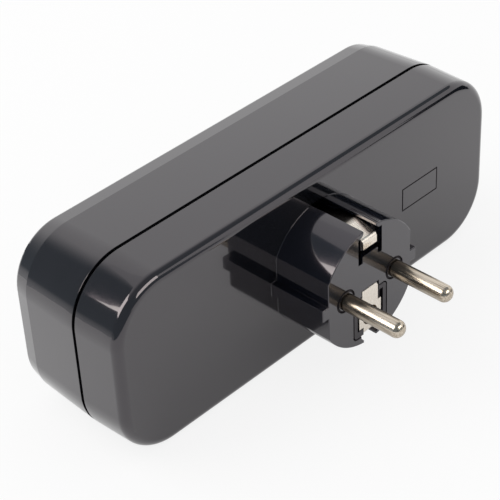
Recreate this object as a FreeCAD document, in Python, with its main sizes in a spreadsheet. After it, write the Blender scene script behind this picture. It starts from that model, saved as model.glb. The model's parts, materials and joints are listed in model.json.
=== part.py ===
import FreeCAD, Part
import math
import os
import Sketcher

# Three-way socket adapter, in millimetres.
# Origin: centre of the plug's face. X: along the casing. -Y: the way the pins point. Z: up.

doc = FreeCAD.newDocument("SocketAdapter")
sheet = doc.addObject("Spreadsheet::Sheet", "Dimensions")

DIMENSIONS = {
    # casing
    "casing_length": 143.5,
    "casing_height": 54.0,
    "corner_radius": 16.5,
    "rear_depth": 14.7,
    "parting_gap": 1.0,
    "front_depth": 24.3,
    "bevel_depth": 6.1,
    "rear_draft": 1.9,
    "front_draft": 2.55,
    "bevel_draft": 11.2,
    "rear_edge_radius": 2.6,
    "front_edge": 1.2,
    "wall": 2.3,
    "lip_height": 3.0,
    "lip_width": 1.1,
    "rebate_wall": 1.1,
    "lip_clearance": 0.1,
    "frame_x": 42.0,
    "frame_width": 15.2,
    "frame_height": 7.4,
    "frame_line": 0.35,
    "frame_depth": 0.25,
    "support_x": 29.0,
    "support_z": 15.0,
    "support_width": 5.0,
    "post_gap": 2.05,
    "post_width": 3.4,
    # plug
    "plug_height": 17.9,
    "plug_radius": 18.25,
    "plug_flat_inset": 2.15,
    "rib_proud": 0.1,
    "rib_width": 3.7,
    "plug_hole_clearance": 0.1,
    "flange_reach": 2.25,
    "flange_thickness": 0.9,
    "groove_floor": 14.45,
    "groove_floor_width": 5.5,
    "groove_step": 15.2,
    "groove_width": 6.8,
    "groove_lip": 16.2,
    "groove_mouth": 17.3,
    "groove_mouth_width": 4.9,
    "groove_overrun": 1.0,
    "slot_inner": 2.95,
    "slot_outer": 4.55,
    "slot_bottom": 8.4,
    "slot_top": 16.4,
    "crossbar_bottom": 10.4,
    "crossbar_top": 12.0,
    "slot_depth": 2.5,
    # pins
    "pin_pitch": 19.0,
    "pin_radius": 2.4,
    "pin_length": 19.0,
    "pin_dome": 2.1,
    "pin_clearance": 0.05,
    "shank_width": 3.0,
    "ring_radius": 3.4,
    "ring_width": 0.4,
    "ring_depth": 0.4,
    # insert round the lower earth plate
    "insert_width": 12.7,
    "insert_top": 2.45,
    "insert_bottom": 15.15,
    "insert_bar": 1.4,
    "insert_opening": 10.06,
    "insert_shoulder": 13.1,
    "insert_mouth": 5.4,
    "insert_depth": 5.0,
    "insert_radius": 1.2,
    "insert_gap": 0.35,
    # earth strips and plate
    "strip_width": 5.3,
    "strip_thickness": 0.5,
    "strip_inset": 0.05,
    "strip_bend": 1.3,
    "strip_peak_bend": 4.0,
    "strip_corner": 15.05,
    "strip_peak_y": 7.3,
    "strip_peak": 16.95,
    "tongue_end": 12.3,
    "plate_end": 0.8,
    "plate_neck": 6.2,
    "plate_shoulder": 6.6,
    "plate_width": 8.6,
    "plate_bottom": 12.9,
    "plate_corner": 0.9,
    "plate_gap": 0.3,
    "earth_hole_z": 10.0,
    "earth_hole_radius": 2.8,
    "sleeve_width": 6.2,
    "sleeve_length": 14.5,
    "sleeve_clearance": 0.15,
    # links, rails and contacts
    "link_width": 6.0,
    "link_thickness": 0.8,
    "link_gap": 0.1,
    "earth_link_width": 9.0,
    "tab_width": 4.0,
    "tab_clearance": 0.4,
    "rail_width": 7.0,
    "rail_thickness": 0.8,
    "rail_end": 5.0,
    "contact_gap": 5.4,
    "contact_thickness": 0.6,
    "contact_width": 5.2,
    "contact_lead": 0.8,
    "contact_lead_height": 1.5,
    # inner base
    "base_gap": 0.3,
    "base_thickness": 1.4,
    "base_end_margin": 1.96,
    "base_side_margin": 3.21,
    "base_radius": 12.0,
    "partition": 1.2,
    "partition_clearance": 0.65,
    "partition_gap": 1.0,
    # sockets
    "socket_end_margin": 6.45,
    "socket_side_margin": 5.7,
    "recess_depth": 17.5,
    "recess_flat_inset": 2.5,
    "recess_notch_inset": 0.5,
    "recess_notch_width": 4.9,
    "well_wall": 1.6,
    "well_floor": 1.6,
    "well_flat": 8.0,
    "well_gap": 1.4,
    "entry_radius": 2.9,
    # earth brackets
    "bracket_width": 4.4,
    "bracket_thickness": 0.7,
    "bracket_foot_inset": 0.3,
    "bracket_bulge_inset": 2.3,
    "bracket_tip_inset": 1.1,
    "bracket_bend_height": 2.2,
    "bracket_bulge_height": 7.2,
    "bracket_top_height": 11.0,
    "bracket_bulge_radius": 2.0,
    "bracket_slot_clearance": 0.6,
    # shutters, their trays and springs
    "tray_depth": 3.7,
    "tray_floor": 1.2,
    "tray_wall": 1.0,
    "tray_stop": 0.6,
    "shutter_half_width": 3.4,
    "shutter_wing": 3.2,
    "shutter_thickness": 2.1,
    "shutter_edge": 0.8,
    "shutter_bar": 3.4,
    "shutter_clearance": 0.2,
    "shutter_travel": 6.5,
    "spring_solid": 2.6,
    "spring_thickness": 0.25,
    "spring_half_height": 2.2,
    "spring_depth": 1.3,
    "spring_clearance": 0.1,
}
SOCKETS = (-1, 0, 1)
SPRING_FOLDS = 5
DOME_BANDS = 3
CORNER_CHORDS = 3


# A number together with the sheet formula that gives it.
class Size:
    def __init__(self, value, text):
        self.value = float(value)
        self.text = text

    def __add__(self, other):
        other = size(other)
        return Size(self.value + other.value, f"({self.text} + {other.text})")

    def __sub__(self, other):
        other = size(other)
        return Size(self.value - other.value, f"({self.text} - {other.text})")

    def __mul__(self, other):
        other = size(other)
        return Size(self.value * other.value, f"({self.text} * {other.text})")

    def __truediv__(self, other):
        other = size(other)
        return Size(self.value / other.value, f"({self.text} / {other.text})")

    def __neg__(self):
        return Size(-self.value, f"(-({self.text}))")


def size(number):
    return number if isinstance(number, Size) else Size(number, f"{float(number)}")


def smaller(first, second):
    return Size(min(first.value, second.value), f"min({first.text}; {second.text})")


def tangent(angle):
    return Size(math.tan(math.radians(angle.value)), f"tan({angle.text})")


class Named:
    pass


d = Named()
for row, (name, value) in enumerate(DIMENSIONS.items(), start=1):
    sheet.set(f"A{row}", name)
    sheet.set(f"B{row}", str(value))
    sheet.setAlias(f"B{row}", name)
    setattr(d, name, Size(value, f"Dimensions.{name}"))
doc.recompute()

# Planes across the adapter, from the plug's face to the socket side.
rear_face = d.plug_height
rear_inside = rear_face + d.wall
parting_rear = rear_face + d.rear_depth
parting_front = parting_rear + d.parting_gap
front_face = parting_front + d.front_depth
front_inside = front_face - d.wall
recess_floor = front_face - d.recess_depth
well_back = recess_floor - d.well_floor
well_front = front_inside - d.link_gap
flange_back = rear_inside + d.link_gap
flange_front = flange_back + d.flange_thickness
link_back = flange_front + d.link_gap
link_front = link_back + d.link_thickness
base_back = link_front + d.base_gap
base_front = base_back + d.base_thickness
rail_back = base_front + d.link_gap
rail_front = rail_back + d.rail_thickness
tray_front = well_back - d.link_gap
tray_back = tray_front - d.tray_depth
tray_inside = tray_back + d.tray_floor
contact_top = tray_back - d.base_gap
partition_top = tray_back - d.partition_gap

# Sizes along and across it. The sockets are as wide as both the casing's length and its height allow.
half_length = d.casing_length / 2
half_height = d.casing_height / 2
pin_offset = d.pin_pitch / 2
well_radius = smaller((half_length - d.socket_end_margin - d.well_gap) / len(SOCKETS),
                      half_height - d.socket_side_margin)
socket_pitch = half_length - d.socket_end_margin - well_radius
recess_radius = well_radius - d.well_wall
rear_cavity_inset = d.wall + d.rear_depth * tangent(d.rear_draft)
front_cavity_inset = d.wall + d.front_depth * tangent(d.front_draft)
base_half_length = half_length - rear_cavity_inset - d.base_end_margin
base_half_height = half_height - rear_cavity_inset - d.base_side_margin
plug_flat = d.plug_radius - d.plug_flat_inset
rib_reach = d.plug_radius + d.rib_proud
flange_half = d.plug_radius + d.flange_reach
bracket_foot = recess_radius - d.bracket_foot_inset
bracket_bulge = recess_radius - d.bracket_bulge_inset
rail_outer = pin_offset + d.rail_width / 2 + d.partition_clearance
rail_inner = pin_offset - d.rail_width / 2 - d.partition_clearance
post_z = rail_outer + d.partition + d.post_gap + d.post_width / 2
spring_start = d.shutter_half_width + d.spring_clearance
spring_end = d.shutter_half_width + d.shutter_travel + d.spring_solid - d.spring_clearance
tray_end = spring_end + d.spring_clearance
shutter_half_height = pin_offset + d.shutter_wing


def bind(thing, prop, value):
    if "Dimensions" in value.text:
        thing.setExpression(prop, value.text)


PLANES = {"front": ("XZ_Plane", -1), "side": ("YZ_Plane", 1), "top": ("XY_Plane", 1)}


# A sketch on a plane of the body: front is X, Z at a given Y, side is Y, Z and top is X, Y.
def new_sketch(body, name, plane, offset):
    role, sign = PLANES[plane]
    sketch = body.newObject("Sketcher::SketchObject", name)
    support = next(item for item in body.Origin.OriginFeatures if item.Role == role)
    sketch.AttachmentSupport = [(support, "")]
    sketch.MapMode = "FlatFace"
    place = size(offset) * sign
    sketch.AttachmentOffset = FreeCAD.Placement(FreeCAD.Vector(0, 0, place.value), FreeCAD.Rotation())
    bind(sketch, "AttachmentOffset.Base.z", place)
    return sketch


def at(sketch, geometry, point, u, v):
    for kind, value in (("DistanceX", size(u)), ("DistanceY", size(v))):
        index = sketch.addConstraint(Sketcher.Constraint(kind, -1, 1, geometry, point, value.value))
        bind(sketch, f"Constraints[{index}]", value)


def radius_of(sketch, geometry, radius):
    radius = size(radius)
    index = sketch.addConstraint(Sketcher.Constraint("Radius", geometry, radius.value))
    bind(sketch, f"Constraints[{index}]", radius)


def vector(u, v):
    return FreeCAD.Vector(size(u).value, size(v).value, 0)


def line(sketch, start, end):
    return sketch.addGeometry(Part.LineSegment(vector(*start), vector(*end)), False)


def arc(sketch, centre, radius, start_angle, end_angle):
    circle = Part.Circle(vector(*centre), FreeCAD.Vector(0, 0, 1), size(radius).value)
    return sketch.addGeometry(Part.ArcOfCircle(circle, start_angle, end_angle), False)


def join(sketch, first, second):
    sketch.addConstraint(Sketcher.Constraint("Coincident", first, 2, second, 1))


def polygon(sketch, points):
    lines = [line(sketch, points[i], points[(i + 1) % len(points)]) for i in range(len(points))]
    for i, geometry in enumerate(lines):
        join(sketch, geometry, lines[(i + 1) % len(lines)])
    for geometry, point in zip(lines, points):
        at(sketch, geometry, 1, *point)


# An open line through the points, with a round bend at the corners that bends names by number.
def path(sketch, points, bends):
    spots = [vector(*point) for point in points]
    starts = list(spots)
    ends = list(spots)
    turns = {}
    for i, radius in bends.items():
        back = (spots[i - 1] - spots[i]).normalize()
        ahead = (spots[i + 1] - spots[i]).normalize()
        half_angle = back.getAngle(ahead) / 2
        reach = radius.value / math.tan(half_angle)
        ends[i] = spots[i] + back * reach
        starts[i] = spots[i] + ahead * reach
        centre = spots[i] + (back + ahead).normalize() * (radius.value / math.sin(half_angle))
        left_turn = ahead.cross(back).z > 0
        first, last = (ends[i], starts[i]) if left_turn else (starts[i], ends[i])
        angles = [math.atan2((spot - centre).y, (spot - centre).x) for spot in (first, last)]
        circle = Part.Circle(centre, FreeCAD.Vector(0, 0, 1), radius.value)
        turns[i] = (Part.ArcOfCircle(circle, *angles), left_turn)
    lines = []
    for i in range(len(points) - 1):
        lines.append(sketch.addGeometry(Part.LineSegment(starts[i], ends[i + 1]), False))
    at(sketch, lines[0], 1, *points[0])
    at(sketch, lines[-1], 2, *points[-1])
    for i in range(1, len(points) - 1):
        before, after = lines[i - 1], lines[i]
        if i in turns:
            turn, left_turn = turns[i]
            bend = sketch.addGeometry(turn, False)
            radius_of(sketch, bend, bends[i])
            first, last = (1, 2) if left_turn else (2, 1)
            sketch.addConstraint(Sketcher.Constraint("Tangent", before, 2, bend, first))
            sketch.addConstraint(Sketcher.Constraint("Tangent", bend, last, after, 1))
            corner = sketch.addGeometry(Part.Point(spots[i]), True)
            at(sketch, corner, 1, *points[i])
            sketch.addConstraint(Sketcher.Constraint("PointOnObject", corner, 1, before))
            sketch.addConstraint(Sketcher.Constraint("PointOnObject", corner, 1, after))
        else:
            join(sketch, before, after)
            at(sketch, after, 1, *points[i])


def rectangle(sketch, left, right, bottom, top):
    polygon(sketch, [(left, bottom), (right, bottom), (right, top), (left, top)])


def square(sketch, u, v, half):
    rectangle(sketch, size(u) - half, size(u) + half, size(v) - half, size(v) + half)


def circle(sketch, u, v, radius):
    shape = Part.Circle(vector(u, v), FreeCAD.Vector(0, 0, 1), size(radius).value)
    geometry = sketch.addGeometry(shape, False)
    at(sketch, geometry, 3, u, v)
    radius_of(sketch, geometry, radius)


def rounded_rectangle(sketch, half_u, half_v, radius):
    u = half_u - radius
    v = half_v - radius
    centres = [(u, v), (-u, v), (-u, -v), (u, -v)]
    arcs = []
    for i, centre in enumerate(centres):
        arcs.append(arc(sketch, centre, radius, i * math.pi / 2, (i + 1) * math.pi / 2))
    ends = [((u, half_v), (-u, half_v)), ((-half_u, v), (-half_u, -v)),
            ((-u, -half_v), (u, -half_v)), ((half_u, -v), (half_u, v))]
    for i, (start, end) in enumerate(ends):
        side = line(sketch, start, end)
        sketch.addConstraint(Sketcher.Constraint("Tangent", arcs[i], 2, side, 1))
        sketch.addConstraint(Sketcher.Constraint("Tangent", side, 2, arcs[(i + 1) % 4], 1))
    for geometry, centre in zip(arcs, centres):
        at(sketch, geometry, 3, *centre)
        radius_of(sketch, geometry, radius)


# The same outline for hidden edges, with CORNER_CHORDS straight cuts in the place of each arc.
def cornered_rectangle(sketch, half_u, half_v, radius):
    points = []
    for quarter in range(4):
        for chord in range(CORNER_CHORDS + 1):
            angle = math.pi / 2 * (quarter + chord / CORNER_CHORDS)
            side_u = 1 if quarter in (0, 3) else -1
            side_v = 1 if quarter in (0, 1) else -1
            points.append(((half_u - radius) * side_u + radius * math.cos(angle),
                           (half_v - radius) * side_v + radius * math.sin(angle)))
    polygon(sketch, points)


# A circle with two flats and a rib or notch in the middle of each flat.
# turned puts the flats above and below instead of left and right.
def keyed_circle(sketch, centre_u, radius, flat, reach, half_rib, turned=False):
    def place(u, v):
        return (centre_u - v, size(u)) if turned else (centre_u + u, size(v))

    cut = math.acos(flat.value / radius.value)
    turn = math.pi / 2 if turned else 0
    start_v = size(radius.value * math.sin(cut))
    centre = (centre_u, size(0))
    arcs = [arc(sketch, centre, radius, cut + turn, math.pi - cut + turn),
            arc(sketch, centre, radius, math.pi + cut + turn, 2 * math.pi - cut + turn)]
    for geometry in arcs:
        at(sketch, geometry, 3, *centre)
        radius_of(sketch, geometry, radius)
    for sign, before, after in ((-1, arcs[0], arcs[1]), (1, arcs[1], arcs[0])):
        side = flat * sign
        out = reach * sign
        corners = [place(side, start_v * -sign), place(side, half_rib * -sign), place(out, half_rib * -sign),
                   place(out, half_rib * sign), place(side, half_rib * sign), place(side, start_v * sign)]
        lines = [line(sketch, a, b) for a, b in zip(corners, corners[1:])]
        for a, b in zip(lines, lines[1:]):
            join(sketch, a, b)
        join(sketch, before, lines[0])
        join(sketch, lines[-1], after)
        for geometry, corner in zip(lines[1:], corners[1:]):
            at(sketch, geometry, 1, *corner)
        direction = "Horizontal" if turned else "Vertical"
        sketch.addConstraint(Sketcher.Constraint(direction, lines[0]))
        sketch.addConstraint(Sketcher.Constraint(direction, lines[-1]))


def new_body(label):
    body = doc.addObject("PartDesign::Body", label)
    body.Label = label
    return body


# direction is 1 or -1 along the axis that the sketch's plane faces, or 0 for both ways.
def extrude(body, kind, sketch, length, direction):
    before = 0 if body.Shape.isNull() else body.Shape.Volume
    feature = body.newObject(f"PartDesign::{kind}", f"{sketch.Name}_{kind.lower()}")
    feature.Profile = sketch
    normal = -1 if "XZ" in sketch.AttachmentSupport[0][0].Role else 1
    length = size(length)
    feature.Length = length.value
    bind(feature, "Length", length)
    if direction == 0:
        feature.SideType = "Symmetric"
    elif kind == "Pad":
        feature.Reversed = direction != normal
    else:
        feature.Reversed = direction == normal
    sketch.Visibility = False
    body.Tip = feature
    doc.recompute()
    after = body.Shape.Volume
    if (kind == "Pad") != (after > before) or abs(after - before) < 1e-6:
        raise RuntimeError(f"{body.Label}: {feature.Name} changed the volume from {before} to {after}")
    return feature


def edges_with(shape, test, along_y=False):
    names = []
    for i, edge in enumerate(shape.Edges, start=1):
        points = [vertex.Point for vertex in edge.Vertexes]
        if all(test(point) for point in points) and not (along_y and near(points[0].y, points[-1].y)):
            names.append(f"Edge{i}")
    return names


def near(a, b):
    return abs(a - size(b).value) < 1e-4


def round_edges(body, name, radius, test, along_y=False):
    base = body.Tip
    feature = body.newObject("PartDesign::Fillet", name)
    feature.Base = (base, edges_with(base.Shape, test, along_y))
    feature.Radius = radius.value
    bind(feature, "Radius", radius)
    body.Tip = feature
    doc.recompute()
    return feature


# Tilts the side faces of the body inwards, away from the flat face at y. The faces are found on the
# second pass only, because the feature has no base shape on the first.
def draft_sides(body, name, angle, y, pull):
    base = body.Tip
    neutral, sides = [], []
    for i, face in enumerate(base.Shape.Faces, start=1):
        flat_y = all(near(vertex.Point.y, y) for vertex in face.Vertexes)
        level = abs(face.normalAt(0, 0).y) < 0.5
        if flat_y:
            neutral.append(f"Face{i}")
        elif level:
            sides.append(f"Face{i}")
    feature = body.newObject("PartDesign::Draft", name)
    feature.Base = (base, sides)
    feature.NeutralPlane = (base, neutral[:1])
    feature.Angle = angle.value
    bind(feature, "Angle", angle)
    feature.Reversed = pull < 0
    body.Tip = feature
    doc.recompute()
    feature.touch()
    doc.recompute()
    return feature


ROTATIONS = {
    "top": FreeCAD.Rotation(),
    "side": FreeCAD.Rotation(FreeCAD.Vector(0, 1, 0), FreeCAD.Vector(0, 0, 1), FreeCAD.Vector(1, 0, 0), "ZXY"),
    "front": FreeCAD.Rotation(FreeCAD.Vector(1, 0, 0), FreeCAD.Vector(0, 0, 1), FreeCAD.Vector(0, -1, 0), "ZXY"),
}


# A strip of sheet metal bent along a path. The path is one face of the strip, and the metal lies
# on the right of it, seen along the path.
def bent_strip(name, plane, points, bends, thickness, width):
    route = doc.addObject("Sketcher::SketchObject", f"{name}_path")
    route.Placement = FreeCAD.Placement(FreeCAD.Vector(0, 0, 0), ROTATIONS[plane])
    path(route, points, bends)
    profile = doc.addObject("Part::Offset2D", f"{name}_profile")
    profile.Source = route
    profile.Value = thickness.value
    bind(profile, "Value", thickness)
    profile.Mode = "Skin"
    profile.Join = "Intersection"
    profile.Fill = True
    strip = doc.addObject("Part::Extrusion", f"{name}_strip")
    strip.Base = profile
    strip.DirMode = "Normal"
    strip.LengthFwd = width.value
    bind(strip, "LengthFwd", width)
    strip.Symmetric = True
    strip.Solid = True
    doc.recompute()
    return strip


# Cuts the edge of the front face by inward along the face and by depth down the sides.
def chamfer_front(body, name, inward, depth):
    base = body.Tip
    feature = body.newObject("PartDesign::Chamfer", name)
    feature.Base = (base, edges_with(base.Shape, lambda p: near(p.y, front_face)))
    feature.ChamferType = "Two distances"
    feature.Size = inward.value
    bind(feature, "Size", inward)
    feature.FlipDirection = True
    feature.Size2 = depth.value
    bind(feature, "Size2", depth)
    body.Tip = feature
    doc.recompute()
    return feature


def place_at_socket(item, socket):
    if socket != 0:
        offset = socket_pitch * socket
        item.Placement = FreeCAD.Placement(FreeCAD.Vector(offset.value, 0, 0), FreeCAD.Rotation())
        bind(item, "Placement.Base.x", offset)


def casing_outline(body, name, y):
    sketch = new_sketch(body, name, "front", y)
    rounded_rectangle(sketch, half_length, half_height, d.corner_radius)
    return sketch


def inner_outline(sketch, less):
    cornered_rectangle(sketch, half_length - less, half_height - less, d.corner_radius - less)


def build_rear_cover():
    body = new_body("rear_cover")
    outline = casing_outline(body, "rear_outline", parting_rear)
    extrude(body, "Pad", outline, d.rear_depth, -1)
    draft_sides(body, "rear_sides", d.rear_draft, parting_rear, -1)
    round_edges(body, "rear_edge", d.rear_edge_radius, lambda p: near(p.y, rear_face))
    cavity = new_sketch(body, "rear_cavity", "front", parting_rear)
    inner_outline(cavity, rear_cavity_inset)
    extrude(body, "Pocket", cavity, d.rear_depth - d.wall, -1)
    rebate = new_sketch(body, "rear_rebate", "front", parting_rear)
    inner_outline(rebate, d.rebate_wall)
    extrude(body, "Pocket", rebate, d.lip_height, -1)
    opening = new_sketch(body, "plug_opening", "front", rear_face)
    gap = d.plug_hole_clearance
    keyed_circle(opening, size(0), d.plug_radius + gap, plug_flat + gap, rib_reach + gap,
                 d.rib_width / 2 + gap)
    extrude(body, "Pocket", opening, d.wall, 1)
    frame = new_sketch(body, "empty_frame", "front", rear_face)
    for inset in (size(0), d.frame_line):
        half_width = d.frame_width / 2 - inset
        frame_half_height = d.frame_height / 2 - inset
        rectangle(frame, d.frame_x - half_width, d.frame_x + half_width, -frame_half_height, frame_half_height)
    extrude(body, "Pocket", frame, d.frame_depth, 1)
    supports = new_sketch(body, "supports", "front", rear_inside)
    for x in (-1, 1):
        for z in (-1, 1):
            square(supports, d.support_x * x, d.support_z * z, d.support_width / 2)
    extrude(body, "Pad", supports, base_back - rear_inside, 1)
    return body


def build_front_cover():
    body = new_body("front_cover")
    outline = casing_outline(body, "front_outline", parting_front)
    extrude(body, "Pad", outline, d.front_depth, 1)
    draft_sides(body, "front_sides", d.front_draft, parting_front, 1)
    band_inset = d.bevel_depth * (tangent(d.bevel_draft) - tangent(d.front_draft))
    chamfer_front(body, "bevel_band", band_inset, d.bevel_depth)
    chamfer_front(body, "front_edge", d.front_edge, d.front_edge)
    cavity = new_sketch(body, "front_cavity", "front", parting_front)
    inner_outline(cavity, front_cavity_inset)
    extrude(body, "Pocket", cavity, d.front_depth - d.wall, 1)
    lip_inset = d.rebate_wall + d.lip_clearance
    lip = new_sketch(body, "lip_outline", "front", parting_front)
    inner_outline(lip, lip_inset)
    inner_outline(lip, lip_inset + d.lip_width)
    extrude(body, "Pad", lip, d.parting_gap + d.lip_height - d.lip_clearance, -1)
    posts = new_sketch(body, "clamp_posts", "front", base_front)
    for x in (-1, 1):
        for z in (-1, 1):
            square(posts, socket_pitch / 2 * x, post_z * z, d.post_width / 2)
    extrude(body, "Pad", posts, front_inside - base_front, 1)
    openings = new_sketch(body, "recess_openings", "front", front_face)
    for socket in SOCKETS:
        recess_outline(openings, socket_pitch * socket)
    extrude(body, "Pocket", openings, d.wall, -1)
    return body


def recess_outline(sketch, centre_x):
    keyed_circle(sketch, centre_x, recess_radius, recess_radius - d.recess_flat_inset,
                 recess_radius - d.recess_notch_inset, d.recess_notch_width / 2, turned=True)


# The cup of a socket stands behind its opening in the front cover.
def build_socket_well(number, socket):
    body = new_body(f"socket_well_{number}")
    cup = new_sketch(body, f"well_cup_{number}", "front", well_back)
    cornered_rectangle(cup, well_radius, well_radius, well_radius - d.well_flat / 2)
    extrude(body, "Pad", cup, well_front - well_back, 1)
    recess = new_sketch(body, f"well_recess_{number}", "front", well_front)
    recess_outline(recess, size(0))
    extrude(body, "Pocket", recess, well_front - recess_floor, -1)
    entries = new_sketch(body, f"pin_entries_{number}", "front", recess_floor)
    for side in (-1, 1):
        circle(entries, 0, pin_offset * side, d.entry_radius)
    extrude(body, "Pocket", entries, d.well_floor, -1)
    slots = new_sketch(body, f"earth_slots_{number}", "front", well_back)
    clearance = d.bracket_slot_clearance
    inner = bracket_bulge - clearance
    outer = bracket_foot + d.bracket_thickness + clearance
    half = d.bracket_width / 2 + clearance
    for side in (-1, 1):
        rectangle(slots, inner * side, outer * side, -half, half)
    extrude(body, "Pocket", slots, d.well_floor + d.bracket_top_height + clearance, 1)
    place_at_socket(body, socket)
    return body


def groove_section(side):
    half = [(d.groove_floor_width, d.groove_floor), (d.groove_floor_width, d.groove_step),
            (d.groove_width, d.groove_step), (d.groove_width, d.groove_lip),
            (d.groove_mouth_width, d.groove_mouth), (d.groove_mouth_width, flange_half + d.groove_overrun)]
    right = [(width / 2, z * side) for width, z in half]
    left = [(-x, z) for x, z in reversed(right)]
    return right + left


def insert_outline(sketch, gap):
    outer = d.insert_width / 2 + gap
    inner = d.insert_opening / 2 - gap
    mouth = d.insert_mouth / 2 - gap
    top = -d.insert_top + gap
    bar = -(d.insert_top + d.insert_bar) - gap
    shoulder = -d.insert_shoulder + gap
    bottom = -d.insert_bottom - gap
    right = [(outer, top), (outer, bottom), (mouth, bottom), (mouth, shoulder), (inner, shoulder), (inner, bar)]
    left = [(-x, z) for x, z in reversed(right)]
    polygon(sketch, right + left)


def round_insert_corners(body, name, gap, radius):
    outer = d.insert_width / 2 + gap
    top = -d.insert_top + gap
    bottom = -d.insert_bottom - gap
    round_edges(body, name, radius,
                lambda p: near(abs(p.x), outer) and (near(p.z, top) or near(p.z, bottom)), along_y=True)


# The recess that lets the upper part of the earth plate lie flush with the face.
def plate_recess(sketch):
    neck = d.plate_neck / 2 + d.plate_gap
    rectangle(sketch, -neck, neck, -(d.insert_top + d.insert_bar + d.insert_gap), -d.plate_end + d.plate_gap)


def build_plug_body():
    body = new_body("plug_body")
    outline = new_sketch(body, "plug_outline", "front", 0)
    keyed_circle(outline, size(0), d.plug_radius, plug_flat, rib_reach, d.rib_width / 2)
    extrude(body, "Pad", outline, flange_front, 1)
    flange = new_sketch(body, "flange", "front", flange_back)
    square(flange, 0, 0, flange_half)
    extrude(body, "Pad", flange, d.flange_thickness, 1)
    pocket_gap = d.insert_gap
    insert_pocket = new_sketch(body, "insert_pocket", "front", 0)
    insert_outline(insert_pocket, pocket_gap)
    extrude(body, "Pocket", insert_pocket, d.insert_depth + pocket_gap, 1)
    round_insert_corners(body, "insert_pocket_corners", pocket_gap, d.insert_radius + pocket_gap)
    for side, name in ((1, "upper_groove"), (-1, "lower_groove")):
        groove = new_sketch(body, name, "front", 0)
        polygon(groove, groove_section(side))
        extrude(body, "Pocket", groove, flange_front, 1)
    slot = new_sketch(body, "clip_slot", "front", 0)
    right = [(d.slot_inner, d.slot_bottom), (d.slot_outer, d.slot_bottom), (d.slot_outer, d.slot_top),
             (d.slot_inner, d.slot_top), (d.slot_inner, d.crossbar_top)]
    left = [(-x, z) for x, z in reversed(right)]
    bar = [(-d.slot_inner, d.crossbar_bottom), (d.slot_inner, d.crossbar_bottom)]
    polygon(slot, right + left + bar)
    extrude(body, "Pocket", slot, d.slot_depth, 1)
    seat_depth = d.strip_inset + d.strip_thickness + d.link_gap
    seat = new_sketch(body, "tongue_seat", "front", 0)
    rectangle(seat, -d.slot_inner, d.slot_inner, d.crossbar_top, d.groove_step)
    extrude(body, "Pocket", seat, seat_depth, 1)
    neck = new_sketch(body, "plate_seat", "front", 0)
    plate_recess(neck)
    extrude(body, "Pocket", neck, seat_depth, 1)
    island = new_sketch(body, "island_seat", "front", 0)
    half = d.insert_opening / 2
    rectangle(island, -half, half, -d.insert_bottom, -(d.insert_top + d.insert_bar))
    extrude(body, "Pocket", island, seat_depth, 1)
    bore = new_sketch(body, "earth_bore", "front", 0)
    square(bore, 0, -d.earth_hole_z, d.sleeve_width / 2 + d.sleeve_clearance)
    extrude(body, "Pocket", bore, seat_depth + d.sleeve_length + d.sleeve_clearance, 1)
    pins = new_sketch(body, "pin_holes", "front", 0)
    for side in (-1, 1):
        square(pins, pin_offset * side, 0, d.shank_width / 2 + d.pin_clearance)
    extrude(body, "Pocket", pins, flange_front, 1)
    rings = new_sketch(body, "pin_rings", "front", 0)
    for side in (-1, 1):
        circle(rings, pin_offset * side, 0, d.ring_radius)
        circle(rings, pin_offset * side, 0, d.ring_radius - d.ring_width)
    extrude(body, "Pocket", rings, d.ring_depth, 1)
    return body


def build_plug_insert():
    body = new_body("plug_insert")
    outline = new_sketch(body, "insert_outline", "front", 0)
    insert_outline(outline, size(0))
    extrude(body, "Pad", outline, d.insert_depth, 1)
    round_insert_corners(body, "insert_corners", size(0), d.insert_radius)
    notch = new_sketch(body, "plate_notch", "front", 0)
    plate_recess(notch)
    extrude(body, "Pocket", notch, d.strip_inset + d.strip_thickness + d.link_gap, 1)
    return body


# A round pin with a domed tip, drawn as DOME_BANDS short cones, and a square shank in the plug.
def build_pin(label, side):
    body = new_body(label)
    axis = pin_offset * side
    section = new_sketch(body, f"{label}_section", "top", 0)
    tip = -d.pin_length
    foot = -d.pin_clearance
    outline = [(axis, tip)]
    for band in range(DOME_BANDS + 1):
        angle = math.pi / 2 * band / DOME_BANDS
        outline.append((axis + d.pin_radius - d.pin_dome * (1 - math.sin(angle)),
                        tip + d.pin_dome * (1 - math.cos(angle))))
    outline += [(axis + d.pin_radius, foot), (axis, foot)]
    polygon(section, outline)
    turned = body.newObject("PartDesign::Revolution", f"{label}_turned")
    turned.Profile = section
    section.addGeometry(Part.LineSegment(vector(axis, tip), vector(axis, foot)), True)
    turned.ReferenceAxis = (section, ["Axis0"])
    turned.Angle = 360
    section.Visibility = False
    body.Tip = turned
    doc.recompute()
    shank = new_sketch(body, f"{label}_shank", "front", foot)
    square(shank, axis, 0, d.shank_width / 2)
    extrude(body, "Pad", shank, link_back - foot, 1)
    return body


def build_earth_strip_upper():
    corner = d.strip_corner
    points = [(d.strip_inset, d.tongue_end), (d.strip_inset, corner), (d.strip_peak_y, d.strip_peak),
              (link_back, corner)]
    bends = {1: d.strip_bend, 2: d.strip_peak_bend}
    strip = bent_strip("earth_upper", "side", points, bends, d.strip_thickness, d.strip_width)
    strip.Label = "earth_strip_upper"
    return strip


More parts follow.
